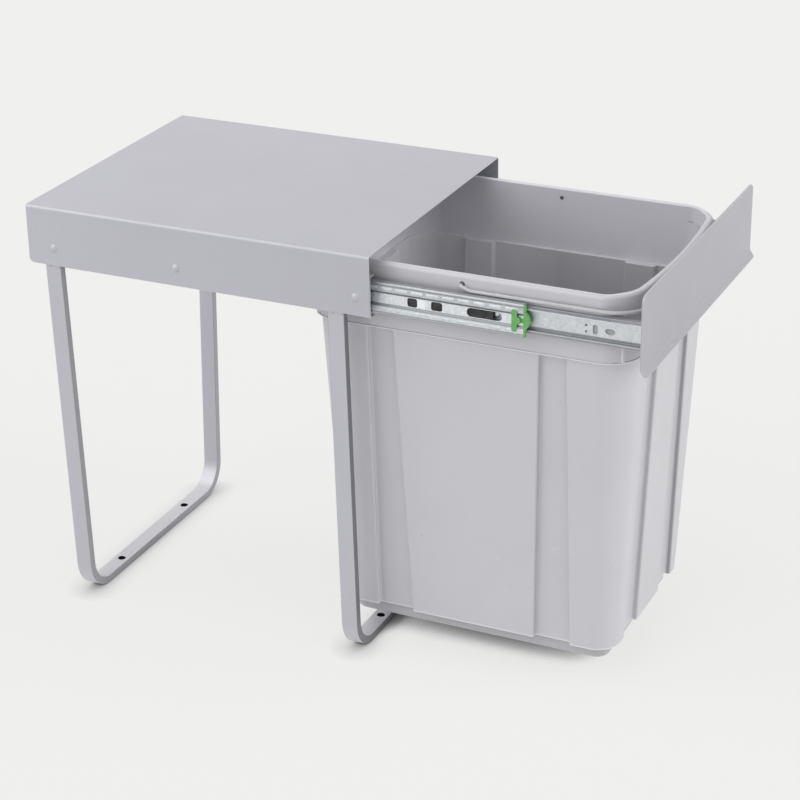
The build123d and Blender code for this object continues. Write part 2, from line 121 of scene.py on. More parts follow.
def setSocket(tree, socket, value):
    # a socket takes a link from another socket, or a plain value
    if isinstance(value, bpy.types.NodeSocket):
        tree.links.new(value, socket)
    else:
        socket.default_value = value


def calculate(tree, operation, *values):
    node = addNode(tree, "Math", {"operation": operation})
    for socket, value in zip(node.inputs, values):
        setSocket(tree, socket, value)
    return node.outputs["Value"]


def scaled(tree, value, factor, shift=0.0):
    return calculate(tree, "MULTIPLY_ADD", value, factor, shift)


def spread(tree, value, low, high, toLow=0.0, toHigh=1.0):
    node = addNode(tree, "MapRange", {"clamp": True},
                   {"From Min": low, "From Max": high, "To Min": toLow, "To Max": toHigh})
    tree.links.new(value, node.inputs["Value"])
    return node.outputs["Result"]


def mixTones(tree, factor, first, second, blend="MIX"):
    node = addNode(tree, "Mix", {"data_type": "RGBA", "blend_type": blend})
    for place, value in (("factor", factor), ("first", first), ("second", second)):
        setSocket(tree, node.inputs[mixSockets[place]], value)
    return node.outputs[mixSockets["result"]]


def seenRays(tree):
    # 1 for what the camera sees, also by a reflection or through glass
    path = addNode(tree, "LightPath").outputs
    shiny = calculate(tree, "MAXIMUM", path["Is Glossy Ray"], path["Is Transmission Ray"])
    return calculate(tree, "MAXIMUM", path["Is Camera Ray"], shiny)


# Camera at the photograph's angle

photoCamera = {"place": (-1.5638, -0.8483, 0.9675), "turn": -65.01, "drop": 24.57, "roll": -0.77,
               "lens": 103.9, "sensor": 36.0, "nearest": 0.05}


def addCamera(settings):
    pickNothing()
    bpy.ops.object.camera_add()
    camera = bpy.context.active_object
    camera.name = "photoCamera"
    camera.data.lens = settings["lens"]
    camera.data.sensor_width = settings["sensor"]
    camera.data.clip_start = settings["nearest"]
    turn = Matrix.Rotation(math.radians(settings["turn"]), 4, "Z")
    drop = Matrix.Rotation(math.radians(90 - settings["drop"]), 4, "X")
    roll = Matrix.Rotation(math.radians(settings["roll"]), 4, "Z")
    camera.matrix_world = Matrix.Translation(settings["place"]) @ turn @ drop @ roll
    scene.camera = camera


addCamera(photoCamera)
print("camera set")


# Light: a pale room all round, a wide soft key from the rear left and a wide soft light in front

studioLight = {
    "room": 0.585,
    "backdrop": 0.865,
    "key": {"strength": 1.45, "spread": 72, "from": (-1.08, 1.00, 1.38)},
    "front": {"strength": 1.38, "spread": 45, "from": (0.25, -1.75, 1.0)},
}


def addSoftSun(name, settings):
    pickNothing()
    bpy.ops.object.light_add(type="SUN", location=settings["from"])
    lamp = bpy.context.active_object
    lamp.name = name
    lamp.data.energy = settings["strength"]
    lamp.data.angle = math.radians(settings["spread"])
    lamp.rotation_euler = Vector(settings["from"]).to_track_quat("Z", "Y").to_euler()


def addRoom(settings):
    world = bpy.data.worlds.new("paleRoom")
    scene.world = world
    world.use_nodes = True
    tree = world.node_tree
    tree.nodes.clear()
    mix = addNode(tree, "MixShader")
    out = addNode(tree, "OutputWorld")
    tree.links.new(seenRays(tree), mix.inputs["Fac"])
    for place, name in enumerate(("room", "backdrop"), 1):
        tone = addNode(tree, "Background", None, {"Strength": settings[name], "Color": white})
        tree.links.new(tone.outputs["Background"], mix.inputs[place])
    tree.links.new(mix.outputs["Shader"], out.inputs["Surface"])


addRoom(studioLight)
addSoftSun("keyLight", studioLight["key"])
addSoftSun("frontLight", studioLight["front"])

# The floor takes light like any pale board, but to the camera most of its tone is its own,
# so the backdrop stays even and the shadow stays faint
paleFloor = {
    "half": 8.0, "board": (0.86, 0.86, 0.86, 1), "shade": (0.13, 0.13, 0.13, 1),
    "glow": (0.725, 0.725, 0.718, 1), "roughness": 0.9,
    "contacts": ({"reach": 0.02, "open": (0.0, 1.0), "depth": 0.8, "rays": 16},
                 {"reach": 0.15, "open": (0.075, 0.235), "depth": 0.92, "rays": 32}),
}


def addFloor(settings):
    pickNothing()
    bpy.ops.mesh.primitive_plane_add(size=2 * settings["half"], location=(0, 0, 0))
    floor = bpy.context.active_object
    floor.name = "paleFloor"
    material = bpy.data.materials.new("paleFloor")
    material.use_nodes = True
    tree = material.node_tree
    shader = tree.nodes["Principled BSDF"]
    shader.inputs["Roughness"].default_value = settings["roughness"]
    shader.inputs["Specular IOR Level"].default_value = 0.0
    shader.inputs["Emission Strength"].default_value = 1.0
    seen = seenRays(tree)
    board = mixTones(tree, seen, settings["board"], settings["shade"])
    glow = mixTones(tree, seen, black, settings["glow"])
    # painted shadow: the floor's glow is darkened by ambient occlusion close to the object, and most of all
    # under the tub
    for contact in settings["contacts"]:
        close = addNode(tree, "AmbientOcclusion", {"samples": contact["rays"]},
                        {"Distance": contact["reach"]})
        sink = spread(tree, close.outputs["AO"], *contact["open"], 1 - contact["depth"])
        glow = mixTones(tree, 1.0, glow, sink, "MULTIPLY")
    tree.links.new(board, shader.inputs["Base Color"])
    tree.links.new(glow, shader.inputs["Emission Color"])
    floor.data.materials.append(material)


addFloor(paleFloor)
print("floor and light set")


# Shared surface effects as node groups, each with its inputs' usual values and its fixed settings

def newGroup(name, inputs, outputs):
    group = bpy.data.node_groups.new(name, "ShaderNodeTree")
    for label, value in inputs.items():
        socket = group.interface.new_socket(name=label, in_out="INPUT", socket_type="NodeSocketFloat")
        socket.default_value = value
    for label in outputs:
        group.interface.new_socket(name=label, in_out="OUTPUT", socket_type="NodeSocketFloat")
    enter = group.nodes.new("NodeGroupInput").outputs
    leave = group.nodes.new("NodeGroupOutput").inputs
    place = addNode(group, "TexCoord").outputs["Object"]
    return group, enter, leave, place


def textureAt(tree, kind, place, scale, settings=None, sockets=None):
    node = addNode(tree, "Tex" + kind, settings, sockets)
    tree.links.new(place, node.inputs["Vector"])
    setSocket(tree, node.inputs["Scale"], scale)
    return node.outputs


def mapped(tree, place, sockets):
    node = addNode(tree, "Mapping", None, sockets)
    tree.links.new(place, node.inputs["Vector"])
    return node.outputs["Vector"]


def splitPlace(tree, place):
    node = addNode(tree, "SeparateXYZ")
    tree.links.new(place, node.inputs["Vector"])
    return node.outputs


def redOf(tree, colour):
    node = addNode(tree, "SeparateColor")
    tree.links.new(colour, node.inputs["Color"])
    return node.outputs["Red"]


def roundSpot(tree, across, up, radius):
    flat = addNode(tree, "CombineXYZ")
    tree.links.new(across, flat.inputs["X"])
    tree.links.new(up, flat.inputs["Y"])
    size = addNode(tree, "VectorMath", {"operation": "LENGTH"})
    tree.links.new(flat.outputs["Vector"], size.inputs["Vector"])
    return calculate(tree, "LESS_THAN", size.outputs["Value"], radius)


grainEffect = {"inputs": {"Scale": 1400.0, "Drift": 9.0}, "fine": {"Detail": 3.0, "Roughness": 0.6},
               "slow": {"Detail": 4.0, "Roughness": 0.55}, "toneRange": (0.3, 0.7)}


def sprayGrain(look):
    # the fine skin of a sprayed or moulded surface, with a slow drift in tone
    group, enter, leave, place = newGroup("sprayGrain", look["inputs"], ("Height", "Tone"))
    fine = textureAt(group, "Noise", place, enter["Scale"], None, look["fine"])
    slow = textureAt(group, "Noise", place, enter["Drift"], None, look["slow"])
    group.links.new(fine["Fac"], leave["Height"])
    group.links.new(spread(group, slow["Fac"], *look["toneRange"]), leave["Tone"])
    return group


marksEffect = {"inputs": {"Smudge Scale": 14.0, "Scuff Scale": 60.0},
               "smudge": {"Detail": 5.0, "Roughness": 0.62, "Distortion": 0.6}, "smudgeRange": (0.42, 0.68),
               "slant": {"Rotation": (0.5, 0.35, 0.8), "Scale": (1.0, 0.06, 1.0)}, "scuffWidth": 0.012,
               "patch": {"Detail": 2.0}, "patchRange": (0.6, 0.7)}


def handMarks(look):
    # soft smudges from handling, and a few fine scuffs
    group, enter, leave, place = newGroup("handMarks", look["inputs"], ("Smudge", "Scuff"))
    smudge = textureAt(group, "Noise", place, enter["Smudge Scale"], None, look["smudge"])
    group.links.new(spread(group, smudge["Fac"], *look["smudgeRange"]), leave["Smudge"])
    slanted = mapped(group, place, look["slant"])
    cracks = textureAt(group, "Voronoi", slanted, enter["Scuff Scale"], {"feature": "DISTANCE_TO_EDGE"})
    patch = textureAt(group, "Noise", place, enter["Scuff Scale"], None, look["patch"])
    line = spread(group, cracks["Distance"], 0.0, look["scuffWidth"], 1.0, 0.0)
    rare = spread(group, patch["Fac"], *look["patchRange"])
    group.links.new(calculate(group, "MULTIPLY", line, rare), leave["Scuff"])
    return group


spangleEffect = {"inputs": {"Scale": 620.0}, "cells": {"Smoothness": 0.35}, "cloudScale": 260.0,
                 "cloud": {"Detail": 5.0, "Roughness": 0.65}, "cloudRange": (0.3, 0.7), "cloudShare": 0.45}


def zincSpangle(look):
    # the small crystals of a zinc coat, each a little lighter or darker
    group, enter, leave, place = newGroup("zincSpangle", look["inputs"], ("Crystal", "Height"))
    cells = textureAt(group, "Voronoi", place, enter["Scale"], {"feature": "SMOOTH_F1"}, look["cells"])
    cloud = textureAt(group, "Noise", place, look["cloudScale"], None, look["cloud"])
    blend = addNode(group, "Mix", {"data_type": "FLOAT"}, {"Factor": look["cloudShare"]})
    group.links.new(redOf(group, cells["Color"]), blend.inputs["A"])
    group.links.new(spread(group, cloud["Fac"], *look["cloudRange"]), blend.inputs["B"])
    group.links.new(blend.outputs["Result"], leave["Crystal"])
    group.links.new(cells["Distance"], leave["Height"])
    return group


linesEffect = {"inputs": {"Scale": 900.0}, "stretch": {"Scale": (1.0, 0.012, 1.0)},
               "noise": {"Detail": 3.0, "Roughness": 0.7}, "lineRange": (0.25, 0.75)}


def rolledLines(look):
    # fine lines along the length, left by rolling or drawing
    group, enter, leave, place = newGroup("rolledLines", look["inputs"], ("Line",))
    stretched = mapped(group, place, look["stretch"])
    lines = textureAt(group, "Noise", stretched, enter["Scale"], None, look["noise"])
    group.links.new(spread(group, lines["Fac"], *look["lineRange"]), leave["Line"])
    return group


dotsEffect = {"Scale": 70.0, "Size": 0.05, "Rarity": 0.8}


def strayDots(inputs):
    # a few small dots, as dust in the coat or flecks in the moulding leave
    group, enter, leave, place = newGroup("strayDots", inputs, ("Dot",))
    cells = textureAt(group, "Voronoi", place, enter["Scale"], {"feature": "F1"})
    near = calculate(group, "LESS_THAN", cells["Distance"], enter["Size"])
    rare = calculate(group, "GREATER_THAN", redOf(group, cells["Color"]), enter["Rarity"])
    group.links.new(calculate(group, "MULTIPLY", near, rare), leave["Dot"])
    return group


bandsEffect = {"Level": 318.0 * mm, "Half": 13.0 * mm}


def bandAcross(inputs):
    # place across a section, from a level line up and down, and the place along it
    group, enter, leave, place = newGroup("bandAcross", inputs, ("Up", "Off", "Along"))
    split = splitPlace(group, place)
    away = calculate(group, "SUBTRACT", split["Z"], enter["Level"])
    share = calculate(group, "DIVIDE", away, enter["Half"])
    group.links.new(spread(group, share, -1.0, 1.0), leave["Up"])
    group.links.new(calculate(group, "ABSOLUTE", share), leave["Off"])
    group.links.new(split["Y"], leave["Along"])
    return group


holesEffect = {"Across": 55.0 * mm, "Line": legLine, "Radius": 3.4 * mm}


def screwHoles(inputs):
    # a mask inside two round holes, left and right of the middle
    group, enter, leave, place = newGroup("screwHoles", inputs, ("Hole",))
    split = splitPlace(group, place)
    away = calculate(group, "SUBTRACT", calculate(group, "ABSOLUTE", split["X"]), enter["Across"])
    along = calculate(group, "SUBTRACT", split["Y"], enter["Line"])
    group.links.new(roundSpot(group, away, along, enter["Radius"]), leave["Hole"])
    return group


pinsEffect = {"Along": -220.0 * mm, "Level": 335.0 * mm, "Radius": 2.4 * mm, "Beyond": 105.0 * mm}


def pinSpot(inputs):
    # a spot round a pin that goes through from side to side, only beyond a place left and right
    group, enter, leave, place = newGroup("pinSpot", inputs, ("Spot",))
    split = splitPlace(group, place)
    along = calculate(group, "SUBTRACT", split["Y"], enter["Along"])
    rise = calculate(group, "SUBTRACT", split["Z"], enter["Level"])
    outer = calculate(group, "GREATER_THAN", calculate(group, "ABSOLUTE", split["X"]), enter["Beyond"])
    spot = roundSpot(group, along, rise, enter["Radius"])
    group.links.new(calculate(group, "MULTIPLY", spot, outer), leave["Spot"])
    return group


effects = {"grain": sprayGrain(grainEffect), "holes": screwHoles(holesEffect), "pins": pinSpot(pinsEffect),
           "dots": strayDots(dotsEffect), "bands": bandAcross(bandsEffect), "marks": handMarks(marksEffect),
           "spangle": zincSpangle(spangleEffect), "lines": rolledLines(linesEffect)}
print("surface effects:", ", ".join(effects))


# Finishes

def newFinish(name, settings):
    material = bpy.data.materials.new(name)
    material.use_nodes = True
    tree = material.node_tree
    shader = tree.nodes["Principled BSDF"]
    for socket, value in settings.items():
        shader.inputs[socket].default_value = value
    return material, tree, shader


def addEffect(tree, effect, sockets):
    node = addNode(tree, "Group", {"node_tree": effects[effect]}, sockets)
    return node.outputs


def bandBetween(tree, low, high):
    return addEffect(tree, "bands", {"Level": (low + high) / 2, "Half": (high - low) / 2})


def faceMark(tree, name):
    node = addNode(tree, "Attribute", {"attribute_type": "GEOMETRY", "attribute_name": name})
    return node.outputs["Fac"]


def dressShader(tree, shader, colour, roughness):
    tree.links.new(colour, shader.inputs["Base Color"])
    tree.links.new(roughness, shader.inputs["Roughness"])


def bumpFrom(tree, shader, height, depth):
    bump = addNode(tree, "Bump", None, {"Strength": 1.0, "Distance": depth})
    tree.links.new(height, bump.inputs["Height"])
    tree.links.new(bump.outputs["Normal"], shader.inputs["Normal"])


paintLook = {
    "light": (0.505, 0.502, 0.550, 1), "dark": (0.479, 0.476, 0.522, 1), "metallic": 0.25,
    "grain": {"Scale": 1500.0, "Drift": 7.0}, "marks": {"Smudge Scale": 11.0, "Scuff Scale": 70.0},
    "roughness": 0.38, "smudgeGain": 0.08, "depth": 0.00003,
    "scuff": (0.57, 0.57, 0.60, 1), "scuffShare": 0.35, "wearAndHighlight": 0.5,
}
coverPaint = {
    **paintLook, "speck": (0.74, 0.74, 0.77, 1), "specks": {"Scale": 24.0, "Size": 0.017, "Rarity": 0.80},
    "front": (0.430, 0.427, 0.468, 1), "frontShadeShare": 0.4, "run": (150.0 * mm, -150.0 * mm),
}
# painted shade: the plate and the rails take darker copies of the same grey paint
platePaint = {**paintLook, "light": (0.417, 0.414, 0.446, 1), "dark": (0.396, 0.393, 0.425, 1)}
railPaint = {**paintLook, "light": (0.385, 0.383, 0.412, 1), "dark": (0.365, 0.363, 0.392, 1), "wearAndHighlight": 0.2}
legPaint = {
    **paintLook, "wearAndHighlight": 0.0, "edge": (0.365, 0.360, 0.386, 1), "half": 6.5 * mm, "edgeFade": 0.2 * mm,
    "foot": (0.650, 0.646, 0.680, 1), "footTop": (7.0 * mm, 29.0 * mm), "hole": (0.012, 0.012, 0.013, 1),
}
rearLegPaint = {**legPaint, "line": legLine}
# painted shade: the front legs' edges are darker still
frontLegPaint = {**legPaint, "line": -legLine, "edge": (0.205, 0.203, 0.219, 1)}


def barTones(tree, look, tone):
    # painted light and shade: the bottom bars are painted lighter, the bars' sheared edges darker, and the
    # screw holes dark
    across = bandBetween(tree, *look["footTop"])
    tone = mixTones(tree, across["Up"], look["foot"], tone)
    low = look["line"] - look["half"]
    high = look["line"] + look["half"]
    front = spread(tree, across["Along"], low - look["edgeFade"], low, 1.0, 0.0)
    rear = spread(tree, across["Along"], high, high + look["edgeFade"])
    tone = mixTones(tree, calculate(tree, "ADD", front, rear), tone, look["edge"])
    hole = addEffect(tree, "holes", {"Line": look["line"]})["Hole"]
    return mixTones(tree, hole, tone, look["hole"])


def satinPaint(name, look):
    material, tree, shader = newFinish(name, {"Metallic": look["metallic"]})
    grain = addEffect(tree, "grain", look["grain"])
    marks = addEffect(tree, "marks", look["marks"])
    tone = mixTones(tree, grain["Tone"], look["dark"], look["light"])
    tone = mixTones(tree, scaled(tree, marks["Scuff"], look["scuffShare"]), tone, look["scuff"])
    # the bevelled edges are lighter, partly as wear and partly as painted highlight
    tone = mixTones(tree, scaled(tree, faceMark(tree, "edge"), look["wearAndHighlight"]), tone, look["scuff"])
    if "specks" in look:
        # a few light specks in the coat
        tone = mixTones(tree, addEffect(tree, "dots", look["specks"])["Dot"], tone, look["speck"])
    if "run" in look:
        # painted shade: a little darker towards the front
        along = addEffect(tree, "bands", {})["Along"]
        frontShade = spread(tree, along, *look["run"], 0.0, look["frontShadeShare"])
        tone = mixTones(tree, frontShade, tone, look["front"])
    if "line" in look:
        tone = barTones(tree, look, tone)
    dressShader(tree, shader, tone, scaled(tree, marks["Smudge"], look["smudgeGain"], look["roughness"]))
    bumpFrom(tree, shader, grain["Height"], look["depth"])
    return material


plasticLook = {
    "light": (0.549, 0.545, 0.571, 1), "dark": (0.524, 0.520, 0.548, 1), "ior": 1.49,
    "grain": {"Scale": 2400.0, "Drift": 12.0}, "marks": {"Smudge Scale": 16.0, "Scuff Scale": 85.0},
    "roughness": 0.34, "smudgeGain": 0.09, "depth": 0.00002,
    "scuff": (0.64, 0.64, 0.66, 1), "scuffShare": 0.4,
    "dot": (0.30, 0.27, 0.25, 1), "dotShare": 0.6, "dots": {"Scale": 46.0, "Size": 0.028, "Rarity": 0.72},
    "edge": (0.76, 0.76, 0.78, 1), "edgeHighlightShare": 0.7,
    "lines": ((34.9 * mm, 36.4 * mm), (287.8 * mm, 289.0 * mm)), "lineShare": 0.6,
    "plinthShade": (0.450, 0.447, 0.470, 1), "plinthTop": (32.1 * mm, 34.9 * mm),
    "gap": (0.10, 0.10, 0.105, 1),
    "pin": {"Along": -221.0 * mm, "Level": 335.8 * mm, "Radius": 2.3 * mm, "Beyond": 105.5 * mm},
    "inside": (0.405, 0.404, 0.424, 1), "insideRear": (0.640, 0.638, 0.668, 1),
    "mouth": (0.600, 0.600, 0.640, 1), "mouthRear": (0.660, 0.660, 0.700, 1),
    "rearRun": (-222.0 * mm, -150.0 * mm),
}


def tubPlastic(name, look):
    material, tree, shader = newFinish(name, {"IOR": look["ior"]})
    grain = addEffect(tree, "grain", look["grain"])
    marks = addEffect(tree, "marks", look["marks"])
    dots = addEffect(tree, "dots", look["dots"])
    tone = mixTones(tree, grain["Tone"], look["dark"], look["light"])
    tone = mixTones(tree, scaled(tree, marks["Scuff"], look["scuffShare"]), tone, look["scuff"])
    tone = mixTones(tree, scaled(tree, dots["Dot"], look["dotShare"]), tone, look["dot"])
    # painted highlight: the bevelled edges are lighter
    tone = mixTones(tree, scaled(tree, faceMark(tree, "edge"), look["edgeHighlightShare"]), tone, look["edge"])
    # painted shade: the plinth below its top is darker
    foot = bandBetween(tree, *look["plinthTop"])
    tone = mixTones(tree, foot["Up"], look["plinthShade"], tone)
    # painted shade: a dark spot round each of the bail's pins
    tone = mixTones(tree, addEffect(tree, "pins", look["pin"])["Spot"], tone, look["gap"])
    for low, high in look["lines"]:
        # a painted highlight, as a light line along a lower edge
        within = calculate(tree, "LESS_THAN", bandBetween(tree, low, high)["Off"], 1.0)
        tone = mixTones(tree, scaled(tree, within, look["lineShare"]), tone, look["edge"])
    # painted shade and light inside: darker below the collar, lighter in the mouth, both lighter towards
    # the rear
    rear = spread(tree, foot["Along"], *look["rearRun"])
    for mark in ("mouth", "inside"):
        deep = mixTones(tree, rear, look[mark], look[mark + "Rear"])
        tone = mixTones(tree, faceMark(tree, mark), tone, deep)
    dressShader(tree, shader, tone, scaled(tree, marks["Smudge"], look["smudgeGain"], look["roughness"]))
    bumpFrom(tree, shader, grain["Height"], look["depth"])
    return material


# On a rolled member the zinc's tone changes across the section as painted sheen and painted shade,
# given as (place, tone) steps from its lower edge to its upper one
zincLook = {
    "light": (0.86, 0.885, 0.915, 1), "dark": (0.66, 0.685, 0.715, 1), "metallic": 1.0,
    "spangle": {"Scale": 620.0}, "lines": {"Scale": 1100.0},
    "marks": {"Smudge Scale": 30.0, "Scuff Scale": 120.0},
    "roughness": 0.42, "crystalGain": 0.12, "smudgeGain": 0.06, "depth": 0.00001,
}
middleZinc = {
    **zincLook, "section": (305.0 * mm, 331.0 * mm),
    "bands": ((0.0, 0.70), (0.065, 0.70), (0.075, 0.50), (0.10, 0.50), (0.11, 0.97), (0.26, 0.97),
              (0.275, 0.34), (0.345, 0.34), (0.355, 1.05), (0.65, 1.05), (0.66, 0.34), (0.72, 0.34),
              (0.735, 0.80), (0.89, 0.80), (0.90, 0.46), (0.925, 0.46), (0.935, 0.60), (1.0, 0.55)),
    "tab": (0.95, 0.97, 1.0, 1), "tabRun": (-194.4 * mm, -184.4 * mm), "tabFade": 0.1 * mm,
    "tabHalf": (0.25, 0.27),
}
innerZinc = {
    **zincLook, "section": (309.0 * mm, 327.0 * mm),
    "bands": ((0.0, 0.80), (0.05, 0.80), (0.07, 0.42), (0.19, 0.48), (0.22, 0.92), (1.0, 0.95)),
    "greaseAndShade": (0.03, 0.03, 0.032, 1), "shadedRun": (-241.6 * mm, -240.8 * mm), "shadedShare": 0.93,
}


def memberTones(tree, look, tone):
    across = bandBetween(tree, *look["section"])
    ramp = addNode(tree, "ValToRGB")
    steps = ramp.color_ramp.elements
    while len(steps) < len(look["bands"]):
        steps.new(0.5)  # its place is set below
    for step, (place, value) in zip(steps, look["bands"]):
        step.position = place
        step.color = (value, value, value, 1)
    tree.links.new(across["Up"], ramp.inputs["Fac"])
    tone = mixTones(tree, 1.0, tone, ramp.outputs["Color"], "MULTIPLY")
    if "greaseAndShade" in look:
        # the stretch that runs inside the middle member is dark, partly grease and mostly painted shade
        shadedStretch = spread(tree, across["Along"], *look["shadedRun"], 0.0, look["shadedShare"])
        tone = mixTones(tree, shadedStretch, tone, look["greaseAndShade"])
    if "tab" in look:
        # the bright tab between the two short windows
        first, last = look["tabRun"]
        begun = spread(tree, across["Along"], first - look["tabFade"], first)
        ended = spread(tree, across["Along"], last, last + look["tabFade"], 1.0, 0.0)
        middle = spread(tree, across["Off"], *look["tabHalf"], 1.0, 0.0)
        tab = calculate(tree, "MINIMUM", calculate(tree, "MINIMUM", begun, ended), middle)
        tone = mixTones(tree, tab, tone, look["tab"])
    return tone


def zincCoat(name, look):
    material, tree, shader = newFinish(name, {"Metallic": look["metallic"]})
    spangle = addEffect(tree, "spangle", look["spangle"])
    lines = addEffect(tree, "lines", look["lines"])
    marks = addEffect(tree, "marks", look["marks"])
    tone = mixTones(tree, spangle["Crystal"], look["dark"], look["light"])
    if "section" in look:
        tone = memberTones(tree, look, tone)
    crystals = scaled(tree, spangle["Crystal"], look["crystalGain"], look["roughness"])
    smudges = scaled(tree, marks["Smudge"], look["smudgeGain"])
    dressShader(tree, shader, tone, calculate(tree, "ADD", crystals, smudges))
    bumpFrom(tree, shader, calculate(tree, "ADD", lines["Line"], spangle["Height"]), look["depth"])
    return material


# painted shade: the cages are near black, standing in for the shade inside the slides
cageLook = {
    "light": (0.060, 0.060, 0.062, 1), "dark": (0.030, 0.030, 0.032, 1), "metallic": 0.6,
    "marks": {"Smudge Scale": 160.0, "Scuff Scale": 260.0}, "roughness": 0.45, "smudgeGain": 0.15,
}
ballLook = {
    "light": (0.82, 0.82, 0.82, 1), "dark": (0.70, 0.70, 0.71, 1), "metallic": 1.0,
    "marks": {"Smudge Scale": 300.0, "Scuff Scale": 400.0}, "roughness": 0.12, "smudgeGain": 0.1,
}


def smudgedSteel(name, look):
    material, tree, shader = newFinish(name, {"Metallic": look["metallic"]})
    marks = addEffect(tree, "marks", look["marks"])
    tone = mixTones(tree, marks["Smudge"], look["light"], look["dark"])
    dressShader(tree, shader, tone, scaled(tree, marks["Smudge"], look["smudgeGain"], look["roughness"]))
    return material


clipLook = {
    "light": (0.145, 0.405, 0.125, 1), "dark": (0.115, 0.345, 0.10, 1), "ior": 1.49,
    "grain": {"Scale": 3000.0, "Drift": 120.0}, "marks": {"Smudge Scale": 90.0, "Scuff Scale": 200.0},
    "roughness": 0.38, "smudgeGain": 0.1, "depth": 0.00001,
}


def clipPlastic(name, look):
    material, tree, shader = newFinish(name, {"IOR": look["ior"]})
    grain = addEffect(tree, "grain", look["grain"])
    marks = addEffect(tree, "marks", look["marks"])
    tone = mixTones(tree, grain["Tone"], look["dark"], look["light"])
    dressShader(tree, shader, tone, scaled(tree, marks["Smudge"], look["smudgeGain"], look["roughness"]))
    bumpFrom(tree, shader, grain["Height"], look["depth"])
    return material


wireLook = {
    "light": (0.52, 0.52, 0.54, 1), "dark": (0.46, 0.46, 0.48, 1), "metallic": 0.15,
    "grain": {"Scale": 1800.0, "Drift": 40.0}, "lines": {"Scale": 1500.0},
    "roughness": 0.5, "lineGain": 0.12, "depth": 0.00001,
    "end": (0.10, 0.10, 0.105, 1), "innerFace": 104.0 * mm,
    "pin": {"Along": -220.0 * mm, "Level": 335.0 * mm, "Radius": 2.5 * mm},
}


def wireCoat(name, look):
    material, tree, shader = newFinish(name, {"Metallic": look["metallic"]})
    grain = addEffect(tree, "grain", look["grain"])
    lines = addEffect(tree, "lines", look["lines"])
    tone = mixTones(tree, grain["Tone"], look["dark"], look["light"])
    # painted shade: where the pins go into the rim, inside it, they are dark
    whole, outer = (addEffect(tree, "pins", {**look["pin"], "Beyond": beyond})["Spot"]
                    for beyond in (0.0, look["innerFace"]))
    tone = mixTones(tree, calculate(tree, "SUBTRACT", whole, outer), tone, look["end"])
    dressShader(tree, shader, tone, scaled(tree, lines["Line"], look["lineGain"], look["roughness"]))
    bumpFrom(tree, shader, grain["Height"], look["depth"])
    return material


finishes = {
    "grey_paint": satinPaint("satinPaint", paintLook), "bin_plastic": tubPlastic("tubPlastic", plasticLook),
    "zinc_plated_steel": zincCoat("zincCoat", zincLook), "ball_steel": smudgedSteel("ballSteel", ballLook),
    "green_clip": clipPlastic("clipPlastic", clipLook), "bail_wire": wireCoat("wireCoat", wireLook),
}
ownFinish = {
    "cover": satinPaint("coverPaint", coverPaint), "front_plate": satinPaint("platePaint", platePaint),
    "leg_frame_front": satinPaint("frontLegPaint", frontLegPaint),
    "leg_frame_rear": satinPaint("rearLegPaint", rearLegPaint),
}
railFinish = satinPaint("railPaint", railPaint)
memberFinish = {"middle": zincCoat("middleZinc", middleZinc), "inner": zincCoat("innerZinc", innerZinc)}
shadedCageFinish = smudgedSteel("shadedCage", cageLook)
for side in sides:
    ownFinish["side_rail_" + side] = railFinish
    for member, finish in memberFinish.items():
        ownFinish[f"slide_{member}_{side}"] = finish
    for row in ("outer", "inner"):
        ownFinish[f"{row}_cage_{side}"] = shadedCageFinish


def finishOf(node):
    return ownFinish.get(node, finishes[slotOf[node]])


for node, piece in nodes.items():
    for materialSlot in piece.material_slots:
        materialSlot.material = finishOf(node)
print("finishes:", ", ".join(finishes))


# Copies of the CAD meshes with their sharp edges broken, as sheared, rolled and moulded edges are

copyMerge = {"gap": 0.000002, "flat": 0.4}
edgeSlot = 1             # the bevel's new faces take this material slot, and are marked by it


def markFaces(piece, name, values):
    mark = piece.data.attributes.new(name, "FLOAT", "FACE")
    mark.data.foreach_set("value", values)


def pickFront(piece, settings):
    bpy.ops.object.mode_set(mode="OBJECT")
    for face in piece.data.polygons:
        face.select = face.center.y < settings["front"] and face.center.z > settings["foot"]
    bpy.ops.object.mode_set(mode="EDIT")


def bowRim(piece, settings):
    # the rim's front edge bows towards the plate, so its two corners stand back
    pickOnly(piece)
    bpy.ops.object.mode_set(mode="EDIT")
    bpy.ops.mesh.select_mode(type="FACE")
    bpy.ops.mesh.select_all(action="DESELECT")
    for index in range(settings["cuts"] + 1):
        across = settings["reach"] * (2 * index / settings["cuts"] - 1)
        pickFront(piece, settings)
        bpy.ops.mesh.bisect(plane_co=(across, 0, 0), plane_no=(1, 0, 0))
    bpy.ops.object.mode_set(mode="OBJECT")
    for vertex in piece.data.vertices:
        if vertex.co.z > settings["level"] and vertex.co.y < settings["front"]:
            share = min((settings["front"] - vertex.co.y) / settings["blend"], 1.0)
            vertex.co.y += settings["sag"] * (vertex.co.x / settings["reach"]) ** 2 * share


